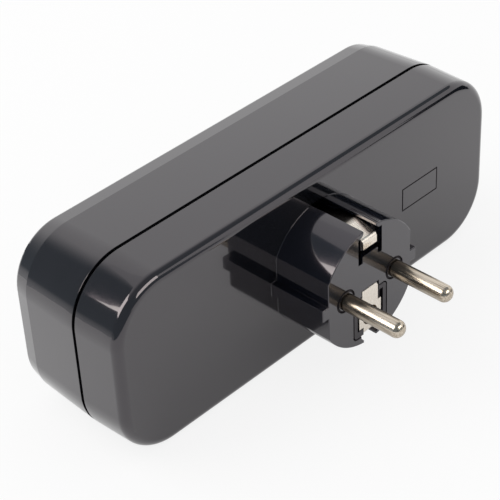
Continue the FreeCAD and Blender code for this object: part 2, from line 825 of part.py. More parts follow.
def build_earth_strip_lower():
    corner = -d.strip_corner
    points = [(link_back, corner), (d.strip_peak_y, -d.strip_peak), (d.strip_inset, corner),
              (d.strip_inset, -d.plate_end)]
    bends = {1: d.strip_peak_bend, 2: d.strip_bend}
    strip = bent_strip("earth_lower", "side", points, bends, d.strip_thickness, d.strip_width)
    body = new_body("earth_plate")
    outline = new_sketch(body, "earth_plate_outline", "front", d.strip_inset)
    neck = d.plate_neck / 2
    wide = d.plate_width / 2
    polygon(outline, [(neck - d.plate_corner, -d.plate_end), (neck, -(d.plate_end + d.plate_corner)),
                      (neck, -d.plate_shoulder), (wide, -d.plate_shoulder), (wide, -d.plate_bottom),
                      (-wide, -d.plate_bottom), (-wide, -d.plate_shoulder), (-neck, -d.plate_shoulder),
                      (-neck, -d.plate_end)])
    extrude(body, "Pad", outline, d.strip_thickness, 1)
    whole = doc.addObject("Part::MultiFuse", "earth_lower_whole")
    whole.Shapes = [strip, body]
    whole.Refine = True
    hole = doc.addObject("Part::Cylinder", "earth_lower_hole")
    hole.Placement = FreeCAD.Placement(FreeCAD.Vector(0, 0, 0), FreeCAD.Rotation(FreeCAD.Vector(1, 0, 0), -90))
    bind(hole, "Placement.Base.z", -d.earth_hole_z)
    bind(hole, "Radius", d.earth_hole_radius)
    bind(hole, "Height", d.strip_thickness + d.strip_inset * 2)
    cut = doc.addObject("Part::Cut", "earth_strip_lower")
    cut.Base = whole
    cut.Tool = hole
    doc.recompute()
    cut.Label = "earth_strip_lower"
    return cut


def build_earth_sleeve():
    body = new_body("earth_sleeve")
    tube = new_sketch(body, "sleeve_tube", "front", d.strip_inset + d.strip_thickness)
    square(tube, 0, -d.earth_hole_z, d.sleeve_width / 2)
    circle(tube, 0, -d.earth_hole_z, d.earth_hole_radius)
    extrude(body, "Pad", tube, d.sleeve_length, 1)
    return body


def build_link(label, side):
    body = new_body(label)
    outline = new_sketch(body, f"{label}_outline", "front", link_back)
    half = d.link_width / 2
    near_end = half * side
    far_end = (pin_offset + half) * -side
    rectangle(outline, pin_offset * side - half, pin_offset * side + half, near_end, far_end)
    extrude(body, "Pad", outline, d.link_thickness, 1)
    add_tab(body, pin_offset * side, pin_offset * -side)
    return body


# The upright end of a link that passes through the base to its rail.
def add_tab(body, x, z):
    tab = new_sketch(body, f"{body.Name}_tab", "front", link_front)
    width = d.tab_width / 2
    thickness = d.link_thickness / 2
    rectangle(tab, x - width, x + width, z - thickness, z + thickness)
    extrude(body, "Pad", tab, rail_back - link_front, 1)


def build_earth_link():
    body = new_body("earth_link")
    outline = new_sketch(body, "earth_link_outline", "front", link_back)
    half = d.earth_link_width / 2
    rectangle(outline, -half, half, -d.strip_corner, d.strip_corner)
    for side in (-1, 1):
        square(outline, 0, pin_offset * side, d.contact_gap / 2)
    extrude(body, "Pad", outline, d.link_thickness, 1)
    add_tab(body, size(0), size(0))
    return body


def build_rail(label, side):
    body = new_body(label)
    z = pin_offset * side
    half = d.rail_width / 2
    reach = socket_pitch + d.rail_end
    outline = new_sketch(body, f"{label}_outline", "front", rail_back)
    rectangle(outline, -reach, reach, z - half, z + half)
    if side != 0:
        for socket in SOCKETS:
            square(outline, socket_pitch * socket, z, d.contact_gap / 2)
    extrude(body, "Pad", outline, d.rail_thickness, 1)
    if side != 0:
        leaves = new_sketch(body, f"{label}_contacts", "top", z)
        inner = d.contact_gap / 2
        lead_start = contact_top - d.contact_lead_height
        for socket in SOCKETS:
            for way in (-1, 1):
                def leaf(u):
                    return socket_pitch * socket + u * way
                thick = inner + d.contact_thickness
                polygon(leaves, [(leaf(inner), rail_front), (leaf(thick), rail_front),
                                 (leaf(thick), lead_start), (leaf(thick + d.contact_lead), contact_top),
                                 (leaf(inner + d.contact_lead), contact_top), (leaf(inner), lead_start)])
        extrude(body, "Pad", leaves, d.contact_width, 0)
    return body


def build_contact_base():
    body = new_body("contact_base")
    plate = new_sketch(body, "base_plate", "front", base_back)
    cornered_rectangle(plate, base_half_length, base_half_height, d.base_radius)
    extrude(body, "Pad", plate, d.base_thickness, 1)
    end = base_half_length - d.partition * 2
    walls = new_sketch(body, "partitions", "front", base_front)
    outer = rail_outer + d.partition
    rectangle(walls, -(end + d.partition), end + d.partition, -outer, outer)
    rectangle(walls, -end, end, rail_inner, rail_outer)
    middle = rail_inner - d.partition
    rectangle(walls, -end, end, -middle, middle)
    rectangle(walls, -end, end, -rail_outer, -rail_inner)
    extrude(body, "Pad", walls, partition_top - base_front, 1)
    holes = new_sketch(body, "base_pin_holes", "front", base_back)
    for socket in SOCKETS:
        for side in (-1, 1):
            square(holes, socket_pitch * socket, pin_offset * side, d.contact_gap / 2)
    extrude(body, "Pocket", holes, d.base_thickness, 1)
    tabs = new_sketch(body, "tab_slots", "front", base_back)
    width = d.tab_width / 2 + d.tab_clearance
    thickness = d.link_thickness / 2 + d.tab_clearance
    for x, z in ((-pin_offset, pin_offset), (pin_offset, -pin_offset), (size(0), size(0))):
        rectangle(tabs, x - width, x + width, z - thickness, z + thickness)
    extrude(body, "Pocket", tabs, d.base_thickness, 1)
    return body


def build_earth_bracket(number, socket):
    right = [(bracket_foot, rail_front + d.bracket_thickness),
             (bracket_foot, recess_floor + d.bracket_bend_height),
             (bracket_bulge, recess_floor + d.bracket_bulge_height),
             (recess_radius - d.bracket_tip_inset, recess_floor + d.bracket_top_height)]
    left = [(-x, y) for x, y in reversed(right)]
    points = left + right
    last = len(points) - 1
    bends = {1: d.bracket_bulge_radius, last - 1: d.bracket_bulge_radius}
    bracket = bent_strip(f"earth_bracket_{number}", "top", points, bends, d.bracket_thickness, d.bracket_width)
    bracket.Label = f"earth_bracket_{number}"
    place_at_socket(bracket, socket)
    return bracket


def build_shutter_tray(number, socket):
    body = new_body(f"shutter_tray_{number}")
    start = -(d.shutter_half_width + d.tray_stop)
    height = shutter_half_height + d.shutter_clearance
    wall = d.tray_wall
    floor = new_sketch(body, f"tray_floor_{number}", "front", tray_back)
    rectangle(floor, start - wall, tray_end + wall, -(height + wall), height + wall)
    for side in (-1, 1):
        square(floor, 0, pin_offset * side, d.entry_radius)
    extrude(body, "Pad", floor, d.tray_floor, 1)
    walls = new_sketch(body, f"tray_walls_{number}", "front", tray_inside)
    rectangle(walls, start - wall, tray_end + wall, -(height + wall), height + wall)
    rectangle(walls, start, tray_end, -height, height)
    extrude(body, "Pad", walls, tray_front - tray_inside, 1)
    place_at_socket(body, socket)
    return body


# The slide has a ramp over each pin entry, so that two pins push it aside together.
def build_shutter(number, socket):
    body = new_body(f"shutter_{number}")
    half = d.shutter_half_width
    back = tray_inside + d.shutter_clearance
    front = back + d.shutter_thickness
    profile = new_sketch(body, f"shutter_profile_{number}", "top", 0)
    polygon(profile, [(-half, back), (half, back), (half, front), (half - d.shutter_edge * 2, front),
                      (-half, back + d.shutter_edge)])
    extrude(body, "Pad", profile, shutter_half_height * 2, 0)
    relief = new_sketch(body, f"shutter_relief_{number}", "front", back)
    wing = pin_offset - d.shutter_wing
    rectangle(relief, -half, half - d.shutter_bar, -wing, wing)
    extrude(body, "Pocket", relief, d.shutter_thickness, 1)
    place_at_socket(body, socket)
    return body


def build_shutter_spring(number, socket):
    middle = tray_inside + d.shutter_clearance + d.shutter_thickness / 2
    thickness = d.spring_thickness
    step = (spring_end - spring_start - thickness * 2) / SPRING_FOLDS
    low = -d.spring_half_height
    high = d.spring_half_height - thickness
    points = []
    for fold in range(SPRING_FOLDS + 1):
        x = spring_start + thickness + step * fold
        points += [(x, high), (x, low)] if fold % 2 else [(x, low), (x, high)]
    spring = bent_strip(f"shutter_spring_{number}", "front", points, {}, thickness, d.spring_depth)
    spring.Label = f"shutter_spring_{number}"
    spring.Placement = FreeCAD.Placement(FreeCAD.Vector(0, middle.value, 0), FreeCAD.Rotation())
    bind(spring, "Placement.Base.y", middle)
    if socket != 0:
        bind(spring, "Placement.Base.x", socket_pitch * socket)
    return spring


pieces = [
    build_rear_cover(), build_front_cover(), build_plug_body(), build_plug_insert(),
    build_pin("plug_pin_left", -1), build_pin("plug_pin_right", 1),
    build_earth_strip_upper(), build_earth_strip_lower(), build_earth_sleeve(),
    build_link("line_link", -1), build_link("neutral_link", 1), build_earth_link(),
    build_rail("line_rail", 1), build_rail("neutral_rail", -1), build_rail("earth_rail", 0),
    build_contact_base(),
]
for number, socket in enumerate(SOCKETS, start=1):
    pieces.append(build_socket_well(number, socket))
    pieces.append(build_earth_bracket(number, socket))
    pieces.append(build_shutter_tray(number, socket))
    pieces.append(build_shutter(number, socket))
    pieces.append(build_shutter_spring(number, socket))
doc.recompute()

for item in doc.Objects:
    if "Invalid" in item.State or "Error" in item.State:
        raise RuntimeError(f"{item.Label} failed: {item.State}")
for piece in pieces:
    if piece.Shape.isNull() or not piece.Shape.isValid():
        raise RuntimeError(f"{piece.Label} has no valid shape")

os.makedirs("parts", exist_ok=True)
for piece in pieces:
    piece.Shape.exportStep(f"parts/{piece.Label}.step")
    box = piece.Shape.BoundBox
    print(f"{piece.Label}: {len(piece.Shape.Solids)} solid, {piece.Shape.Volume:.1f} mm3, "
          f"X {box.XMin:.1f} to {box.XMax:.1f}, Y {box.YMin:.1f} to {box.YMax:.1f}, "
          f"Z {box.ZMin:.1f} to {box.ZMax:.1f}")
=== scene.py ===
import bpy
import json
import math
from mathutils import Matrix, Vector


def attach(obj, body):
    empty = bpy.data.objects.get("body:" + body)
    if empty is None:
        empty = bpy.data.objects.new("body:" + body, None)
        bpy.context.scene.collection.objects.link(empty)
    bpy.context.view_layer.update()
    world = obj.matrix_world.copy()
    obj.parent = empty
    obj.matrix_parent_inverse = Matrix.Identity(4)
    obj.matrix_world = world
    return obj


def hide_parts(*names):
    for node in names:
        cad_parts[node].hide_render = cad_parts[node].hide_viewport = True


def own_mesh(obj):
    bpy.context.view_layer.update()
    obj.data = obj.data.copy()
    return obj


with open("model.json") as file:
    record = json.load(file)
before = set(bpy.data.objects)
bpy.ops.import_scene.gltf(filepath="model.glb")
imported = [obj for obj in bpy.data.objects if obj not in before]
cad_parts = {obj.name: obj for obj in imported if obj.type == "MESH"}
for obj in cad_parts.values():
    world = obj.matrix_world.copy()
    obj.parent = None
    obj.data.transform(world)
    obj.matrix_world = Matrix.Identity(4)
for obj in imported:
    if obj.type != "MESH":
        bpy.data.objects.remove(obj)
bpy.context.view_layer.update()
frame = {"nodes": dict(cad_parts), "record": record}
print("frame loaded")

scene = bpy.context.scene
scene.view_settings.view_transform = "Standard"
mm = 0.001


def deselectAll():
    if bpy.context.mode != "OBJECT":
        bpy.ops.object.mode_set(mode="OBJECT")
    bpy.ops.object.select_all(action="DESELECT")


def pick(piece):
    deselectAll()
    piece.select_set(True)
    bpy.context.view_layer.objects.active = piece


# camera, found by fitting the pins and the casing's outline to the photograph
camera = {
    "place": (-0.262360, -0.225430, 0.266732),
    "azimuth": -44.247,
    "elevation": 36.358,
    "roll": -3.102,
    "lens": 121.07,
}


def addCamera(settings):
    azimuth = math.radians(settings["azimuth"])
    elevation = math.radians(settings["elevation"])
    roll = math.radians(settings["roll"])
    level = math.cos(elevation)
    back = Vector((math.sin(azimuth) * level, -math.cos(azimuth) * level, math.sin(elevation)))
    right = Vector((0, 0, 1)).cross(back).normalized()
    up = back.cross(right)
    turn = Matrix((right, up, back)).transposed() @ Matrix.Rotation(roll, 3, "Z")
    bpy.ops.object.camera_add(location=settings["place"], rotation=turn.to_euler())
    view = bpy.context.object
    view.name = "photoCamera"
    view.data.lens = settings["lens"]
    view.data.sensor_width = 36
    view.data.clip_start = 0.01
    scene.camera = view
    return view


addCamera(camera)
print("camera placed")


# sRGB hex to the linear colour that a shader takes
def linearColour(hexText, alpha=1.0):
    channels = [int(hexText.lstrip("#")[i:i + 2], 16) / 255 for i in (0, 2, 4)]
    linear = [c / 12.92 if c <= 0.04045 else ((c + 0.055) / 1.055) ** 2.4 for c in channels]
    return tuple(linear) + (alpha,)


# one node, with its values and the sockets that feed it
def addNode(tree, kind, values=None, links=None, **settings):
    node = tree.nodes.new(kind)
    for name, value in settings.items():
        setattr(node, name, value)
    for name, value in (values or {}).items():
        node.inputs[name].default_value = value
    for name, source in (links or {}).items():
        tree.links.new(source, node.inputs[name])
    return node


def newMaterial(name):
    material = bpy.data.materials.new(name)
    material.use_nodes = True
    material.node_tree.nodes.clear()
    return material, material.node_tree


def finishMaterial(tree, shader):
    addNode(tree, "ShaderNodeOutputMaterial", links={"Surface": shader})


noiseLow, noiseHigh = 0.3, 0.7  # most of a noise texture's values lie between these

# Polished black ABS from a mirror-finished mould: a deep black with a clear gloss and a faint wave
# in its reflections, and a dust too fine to see but for a slightly softer gloss in places. waveSize
# and dustSize, with their heights, are in millimetres.
glossAbs = {
    "colour": "#0a0b0e", "lightColour": "#101115", "tint": "#f0e2ee", "ior": 1.58,
    "roughness": (0.07, 0.13), "coat": 0.85, "coatRoughness": 0.02,
    "waveSize": 14.0, "waveHeight": 0.006, "dustSize": 0.7, "dustHeight": 0.0006,
}
# the plug's own moulding, a little bluer and less polished
plugAbs = dict(glossAbs, colour="#080a10", lightColour="#0f121a", roughness=(0.1, 0.17), coat=0.8)
# the insert from an unpolished mould, which has a satin look
insertAbs = dict(glossAbs, colour="#0a0b0d", lightColour="#101114", roughness=(0.22, 0.32),
                 coat=0.15, coatRoughness=0.2)
# painted shade: the bottoms and sides of narrow grooves and recesses, drawn near black and rough to
# stand in for the shade in them
grooveShadeAbs = dict(glossAbs, colour="#030304", lightColour="#060607", roughness=(0.6, 0.8),
                 coat=0.0, coatRoughness=0.3)
# dark grey mouldings inside, as they leave a plain steel mould
innerAbs = dict(glossAbs, colour="#26272a", lightColour="#303135", roughness=(0.42, 0.55),
                coat=0.0, coatRoughness=0.3)
# the slides behind the pin entries, of a slightly lighter grey acetal
slideAcetal = dict(innerAbs, colour="#2c2d30", lightColour="#36373b")


def mouldedPlastic(name, look):
    material, tree = newMaterial(name)
    place = addNode(tree, "ShaderNodeTexCoord").outputs["Object"]
    cloud = addNode(tree, "ShaderNodeTexNoise",
                    {"Scale": 1 / (look["waveSize"] * mm), "Detail": 3.0}, {"Vector": place})
    dust = addNode(tree, "ShaderNodeTexNoise",
                   {"Scale": 1 / (look["dustSize"] * mm), "Detail": 2.0}, {"Vector": place})
    ramp = addNode(tree, "ShaderNodeValToRGB", links={"Fac": cloud.outputs["Fac"]})
    ramp.color_ramp.elements[0].color = linearColour(look["colour"])
    ramp.color_ramp.elements[1].color = linearColour(look["lightColour"])
    smooth, rough = look["roughness"]
    gloss = addNode(tree, "ShaderNodeMapRange",
                    {"From Min": noiseLow, "From Max": noiseHigh,
                     "To Min": smooth, "To Max": rough}, {"Value": cloud.outputs["Fac"]})
    wave = addNode(tree, "ShaderNodeBump", {"Strength": 1.0, "Distance": look["waveHeight"] * mm},
                   {"Height": cloud.outputs["Fac"]})
    grain = addNode(tree, "ShaderNodeBump", {"Strength": 1.0, "Distance": look["dustHeight"] * mm},
                    {"Height": dust.outputs["Fac"], "Normal": wave.outputs["Normal"]})
    shader = addNode(tree, "ShaderNodeBsdfPrincipled",
                     {"IOR": look["ior"], "Specular Tint": linearColour(look["tint"]),
                      "Coat Weight": look["coat"], "Coat Roughness": look["coatRoughness"],
                      "Coat IOR": look["ior"]},
                     {"Base Color": ramp.outputs["Color"], "Roughness": gloss.outputs["Result"],
                      "Normal": grain.outputs["Normal"]})
    finishMaterial(tree, shader.outputs["BSDF"])
    return material


# Nickel plate on turned or stamped brass: a warm, bright metal with fine streaks along the way it
# was drawn. streakSize is how far apart the streaks are, in millimetres, and height how deep. The
# noise is dark up to darkUpTo and bright from brightFrom. Along Y, between two places given in
# millimetres, the colour darkens to a shade colour. This is painted shade: a pin darkens towards
# its foot, where it mirrors the dark plug, and a strip darkens deep in its slot.
pinNickel = {
    "colour": "#d9cebf", "darkColour": "#87785f", "darkUpTo": 0.25, "brightFrom": 0.6,
    "roughness": (0.14, 0.28), "streakSize": 0.35, "streakStretch": (1.0, 0.04, 1.0),
    "height": 0.0012, "paintedShadeFrom": -8.0, "paintedShadeTo": 3.0, "paintedShadeColour": "#6f5f4b",
}
# thin spring strip, rolled, so that it is paler and more even, with a near-black painted shade from
# 5.8 mm along Y, deep in its slot
stripNickel = dict(pinNickel, colour="#fbf3e8", darkColour="#efe4d6", roughness=(0.22, 0.32),
                   height=0.0004, streakStretch=(1.0, 0.2, 0.2), paintedShadeFrom=5.8, paintedShadeTo=7.4,
                   paintedShadeColour="#2b2825")
# the same strip with no painted shade, as nothing on the object lies where that shade would begin
bracketNickel = dict(stripNickel, paintedShadeFrom=90.0, paintedShadeTo=100.0)
# bare brass strip, yellow and streaked along X
contactBrass = dict(bracketNickel, colour="#c9a35a", darkColour="#a8823f", roughness=(0.24, 0.4),
                    streakStretch=(0.05, 1.0, 1.0))
# bright drawn wire
springSteel = dict(bracketNickel, colour="#b9bbbd", darkColour="#96989a", roughness=(0.2, 0.34),
                   streakStretch=(1.0, 1.0, 0.1))


def drawnMetal(name, look):
    material, tree = newMaterial(name)
    place = addNode(tree, "ShaderNodeTexCoord").outputs["Object"]
    stretch = addNode(tree, "ShaderNodeMapping", {"Scale": look["streakStretch"]},
                      {"Vector": place})
    streak = addNode(tree, "ShaderNodeTexNoise",
                     {"Scale": 1 / (look["streakSize"] * mm), "Detail": 3.0},
                     {"Vector": stretch.outputs["Vector"]})
    ramp = addNode(tree, "ShaderNodeValToRGB", links={"Fac": streak.outputs["Fac"]})
    ramp.color_ramp.elements[0].color = linearColour(look["darkColour"])
    ramp.color_ramp.elements[0].position = look["darkUpTo"]
    ramp.color_ramp.elements[1].color = linearColour(look["colour"])
    ramp.color_ramp.elements[1].position = look["brightFrom"]
    # painted shade: the colour darkens along Y towards the shade colour
    depth = addNode(tree, "ShaderNodeSeparateXYZ", links={"Vector": place})
    paintedShade = addNode(tree, "ShaderNodeMapRange",
                   {"From Min": look["paintedShadeFrom"] * mm, "From Max": look["paintedShadeTo"] * mm},
                   {"Value": depth.outputs["Y"]})
    colour = addNode(tree, "ShaderNodeMixRGB", {"Color2": linearColour(look["paintedShadeColour"])},
                     {"Fac": paintedShade.outputs["Result"], "Color1": ramp.outputs["Color"]})
    smooth, rough = look["roughness"]
    gloss = addNode(tree, "ShaderNodeMapRange",
                    {"From Min": noiseLow, "From Max": noiseHigh,
                     "To Min": smooth, "To Max": rough}, {"Value": streak.outputs["Fac"]})
    bump = addNode(tree, "ShaderNodeBump", {"Strength": 1.0, "Distance": look["height"] * mm},
                   {"Height": streak.outputs["Fac"]})
    shader = addNode(tree, "ShaderNodeBsdfPrincipled", {"Metallic": 1.0},
                     {"Base Color": colour.outputs["Color"], "Roughness": gloss.outputs["Result"],
                      "Normal": bump.outputs["Normal"]})
    finishMaterial(tree, shader.outputs["BSDF"])
    return material


materials = {
    "casing": mouldedPlastic("polishedBlackAbs", glossAbs),
    "plug": mouldedPlastic("polishedPlugAbs", plugAbs),
    "insert": mouldedPlastic("satinInsertAbs", insertAbs),
    "groove": mouldedPlastic("grooveShadeAbs", grooveShadeAbs),
    "inner_moulding": mouldedPlastic("plainInnerAbs", innerAbs),
    "shutter": mouldedPlastic("slideAcetal", slideAcetal),
    "pin": drawnMetal("turnedNickel", pinNickel),
    "earth_strip": drawnMetal("stampedNickel", stripNickel),
    "bracket": drawnMetal("stampedBracketNickel", bracketNickel),
    "contact_metal": drawnMetal("stampedBrass", contactBrass),
    "spring": drawnMetal("springSteel", springSteel),
}
slotOf = {row["node"]: row["material_slot"] for row in frame["record"]["subparts"]}
for name, node in frame["nodes"].items():
    for place in node.material_slots:
        place.material = materials[slotOf[name]]
print("materials made")


# Corners closer than sameCorner are one, and a corner closer than nearby lies on a rim, ring or
# seam, both in millimetres. Triangles that turn by less than flatWithin are one face, and an edge
# that turns by more than sharp is a sharp one, both in degrees.
dressing = {"sameCorner": 0.002, "nearby": 0.02, "flatWithin": 0.1, "sharp": 33}
socketRim = {"behind": 56.6, "across": 66.0, "up": 22.0}
plugRim = {"outside": 12.5}


# the outer edge of the socket side, from a corner's place in millimetres
def onSocketRim(x, y, z):
    return y > socketRim["behind"] and (abs(x) > socketRim["across"] or abs(z) > socketRim["up"])


# the outer edge of the plug's face
def onPlugRim(x, y, z):
    return abs(y) < dressing["nearby"] and max(abs(x), abs(z)) > plugRim["outside"]


# a copy of a CAD node with its triangles joined into faces
def joinedCopy(name, node):
    piece = bpy.data.objects.new(name, frame["nodes"][node].data.copy())
    scene.collection.objects.link(piece)
    pick(piece)
    bpy.ops.object.mode_set(mode="EDIT")
    bpy.ops.mesh.select_all(action="SELECT")
    bpy.ops.mesh.customdata_custom_splitnormals_clear()
    bpy.ops.mesh.remove_doubles(threshold=dressing["sameCorner"] * mm)
    bpy.ops.mesh.dissolve_limited(angle_limit=math.radians(dressing["flatWithin"]))
    bpy.ops.mesh.select_all(action="DESELECT")
    bpy.ops.object.mode_set(mode="OBJECT")
    return piece


# the ranges of x, y and z that hold the seat of the insert in the plug's face
insertSeat = ((-7.0, 7.0), (0.03, 2.4), (-16.0, -1.0))

# Copies of CAD nodes with a small moulded radius on their sharp edges and smooth curved faces.
# edge is that radius in millimetres. rim is a larger one for the edges that isRim picks. crease is
# the value of y where a flat band begins with a clear line. The groove boxes, each as its ranges of
# x, y and z, hold the faces that are drawn black as painted shade. rings widens the groove round
# each pin from one inner radius to another. A spring's joint, fixed end and pressed share are not
# used.
dressed = {
    "rearCover": {"node": "rear_cover", "edge": 0.12, "segments": 2,
                  "shadedGrooves": [((34.0, 50.0), (17.99, 18.3), (-4.5, 4.5))]},
    "frontCover": {"node": "front_cover", "edge": 0.12, "segments": 2,
                   "rim": {"isRim": onSocketRim, "width": 0.5, "segments": 3},
                   "crease": 51.806},
    "plugBody": {"node": "plug_body", "edge": 0.08, "segments": 2,
                 "rim": {"isRim": onPlugRim, "width": 0.22, "segments": 4},
                 "rings": {"offset": 9.5, "from": 3.0, "to": 2.72},
                 "shadedGrooves": [((-13.0, 13.0), (0.03, 0.8), (-3.5, 3.5)), insertSeat]},
    "plugInsert": {"node": "plug_insert", "edge": 0.08, "segments": 2,
                   "shadedGrooves": [insertSeat]},
    "tongueStrip": {"node": "earth_strip_upper", "edge": 0.06, "segments": 2},
    "plateStrip": {"node": "earth_strip_lower", "edge": 0.06, "segments": 2},
    "leftWell": {"node": "socket_well_1", "edge": 0.15, "segments": 2},
    "middleWell": {"node": "socket_well_2", "edge": 0.15, "segments": 2},
    "rightWell": {"node": "socket_well_3", "edge": 0.15, "segments": 2},
    "leftSpring": {"node": "shutter_spring_1", "edge": 0.04, "segments": 1,
                   "spring": {"joint": "shutter_1_slide", "fixedEnd": -31.6, "pressed": 0.27}},
    "middleSpring": {"node": "shutter_spring_2", "edge": 0.04, "segments": 1,
                     "spring": {"joint": "shutter_2_slide", "fixedEnd": 12.4, "pressed": 0.27}},
    "rightSpring": {"node": "shutter_spring_3", "edge": 0.04, "segments": 1,
                    "spring": {"joint": "shutter_3_slide", "fixedEnd": 56.4, "pressed": 0.27}},
}


def roundRim(piece, rim):
    for edge in piece.data.edges:
        corners = [piece.data.vertices[i].co / mm for i in edge.vertices]
        edge.select = all(rim["isRim"](*corner) for corner in corners)
    bpy.ops.object.mode_set(mode="EDIT")
    bpy.ops.mesh.select_mode(type="EDGE")
    bpy.ops.mesh.bevel(offset=rim["width"] * mm, segments=rim["segments"], profile=0.5)
    bpy.ops.object.mode_set(mode="OBJECT")


def markCrease(piece, crease):
    for edge in piece.data.edges:
        reach = [abs(piece.data.vertices[i].co.y / mm - crease) for i in edge.vertices]
        edge.select = max(reach) < dressing["nearby"]
    bpy.ops.object.mode_set(mode="EDIT")
    bpy.ops.mesh.select_mode(type="EDGE")
    bpy.ops.mesh.mark_sharp()
    bpy.ops.object.mode_set(mode="OBJECT")


def widenRings(piece, rings):
    for vertex in piece.data.vertices:
        for side in (-1, 1):
            across = Vector((vertex.co.x - side * rings["offset"] * mm, 0, vertex.co.z))
            if abs(across.length / mm - rings["from"]) < dressing["nearby"]:
                vertex.co += across * (rings["to"] / rings["from"] - 1)


def paintGrooveShade(piece, shadedGrooves):
    # painted shade: faces inside the boxes are drawn near black, for the shade in grooves and
    # recesses
    piece.data.materials.append(materials["groove"])
    for face in piece.data.polygons:
        middle = face.center / mm
        for box in shadedGrooves:
            if all(low < value < high for value, (low, high) in zip(middle, box)):
                face.material_index = len(piece.data.materials) - 1


def dressNode(name, settings):
    piece = joinedCopy(name, settings["node"])
    if "rim" in settings:
        roundRim(piece, settings["rim"])
    if "crease" in settings:
        markCrease(piece, settings["crease"])
    if "rings" in settings:
        widenRings(piece, settings["rings"])
    bevel = piece.modifiers.new("edges", "BEVEL")
    bevel.width = settings["edge"] * mm
    bevel.segments = settings["segments"]
    bevel.limit_method = "ANGLE"
    bevel.angle_limit = math.radians(dressing["sharp"])
    bpy.ops.object.modifier_apply(modifier=bevel.name)
    bpy.ops.object.shade_smooth_by_angle(angle=math.radians(dressing["sharp"]))
    if "shadedGrooves" in settings:
        paintGrooveShade(piece, settings["shadedGrooves"])
    even = piece.modifiers.new("even", "WEIGHTED_NORMAL")
    even.keep_sharp = True
    bpy.ops.object.modifier_apply(modifier=even.name)
    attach(piece, "casing")
    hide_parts(settings["node"])
    if "spring" in settings:
        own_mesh(piece)
    return piece


for name, settings in dressed.items():
    dressNode(name, settings)
print("plastic and strips dressed")


# turned pins with a domed tip, and a square shank that holds them in the plug
pins = {"radius": 2.4, "length": 19.0, "foot": -0.05, "dome": 2.1, "offset": 9.5, "shank": 3.0,
        "back": 21.3, "sides": 96, "domeSteps": 10}


def makePin(name, node, side):
    tip = -pins["length"] * mm
    foot = pins["foot"] * mm
    back = pins["back"] * mm
    along = side * pins["offset"] * mm
    deselectAll()
    bpy.ops.mesh.primitive_cube_add(size=1, location=(along, (foot + back) / 2, 0))
    shank = bpy.context.object
    shank.scale = (pins["shank"] * mm, back - foot, pins["shank"] * mm)
    bpy.ops.object.transform_apply(location=True, rotation=True, scale=True)
    bpy.ops.mesh.primitive_cylinder_add(
        vertices=pins["sides"], radius=pins["radius"] * mm, depth=foot - tip,
        location=(along, (foot + tip) / 2, 0), rotation=(math.radians(90), 0, 0))
    piece = bpy.context.object
    piece.name = name
    bpy.ops.object.transform_apply(location=True, rotation=True, scale=True)
    bpy.ops.object.mode_set(mode="EDIT")
    bpy.ops.mesh.select_all(action="DESELECT")
    bpy.ops.object.mode_set(mode="OBJECT")
    for edge in piece.data.edges:
        edge.select = all(abs(piece.data.vertices[i].co.y - tip) < dressing["nearby"] * mm
                          for i in edge.vertices)
    bpy.ops.object.mode_set(mode="EDIT")
    bpy.ops.mesh.select_mode(type="EDGE")
    bpy.ops.mesh.bevel(offset=pins["dome"] * mm, segments=pins["domeSteps"], profile=0.5)
    bpy.ops.object.mode_set(mode="OBJECT")
    shank.select_set(True)
    bpy.ops.object.join()
    bpy.ops.object.shade_smooth_by_angle(angle=math.radians(dressing["sharp"]))
    piece.data.materials.append(materials["pin"])
    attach(piece, "casing")
    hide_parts(node)
    return piece


makePin("leftPin", "plug_pin_left", -1)
makePin("rightPin", "plug_pin_right", 1)
print("pins made")


# The row of fine ribs on the far lip of the upper earth groove, each laid along the plug's round.
# They are drawn a little coarser than the real ones, so that they show.
lipRibs = {"plugRadius": 18.25, "middle": 3.3, "length": 1.4, "radius": 0.15, "sides": 12,
           "rounding": 0.12, "roundingSteps": 3, "roundedFrom": 60, "smoothTo": 40, "first": 0.6,
           "pitch": 0.62, "count": 15}


def makeLipRibs(ribs):
    outwards = math.asin(ribs["middle"] / ribs["plugRadius"])
    place = Vector((math.sin(outwards), 0, math.cos(outwards))) * ribs["plugRadius"] * mm
    place.y = ribs["first"] * mm
    deselectAll()
    bpy.ops.mesh.primitive_cylinder_add(
        vertices=ribs["sides"], radius=ribs["radius"] * mm, depth=ribs["length"] * mm,
        location=place, rotation=(0, math.radians(90) + outwards, 0))
    piece = bpy.context.object
    piece.name = "lipRibs"
    bpy.ops.object.transform_apply(location=True, rotation=True, scale=True)
    rounding = piece.modifiers.new("roundEnds", "BEVEL")
    rounding.width = ribs["rounding"] * mm
    rounding.segments = ribs["roundingSteps"]
    rounding.limit_method = "ANGLE"
    rounding.angle_limit = math.radians(ribs["roundedFrom"])
    bpy.ops.object.modifier_apply(modifier=rounding.name)
    row = piece.modifiers.new("row", "ARRAY")
    row.use_relative_offset = False
    row.use_constant_offset = True
    row.constant_offset_displace = (0, ribs["pitch"] * mm, 0)
    row.count = ribs["count"]
    bpy.ops.object.modifier_apply(modifier=row.name)
    bpy.ops.object.shade_smooth_by_angle(angle=math.radians(ribs["smoothTo"]))
    # the ribs are drawn near black too, a painted shade
    piece.data.materials.append(materials["groove"])
    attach(piece, "casing")
    return piece


makeLipRibs(lipRibs)
print("ribs made")


# A fine raised line along the seam between the plug and the rear face. It follows the edge of the
# hole in the rear cover, apart from the mouths of the two earth grooves.
seamLine = {"node": "rear_cover", "face": 17.9, "within": 22.0, "mouth": 2.7, "radius": 0.14,
            "steps": 3, "smoothTo": 60}


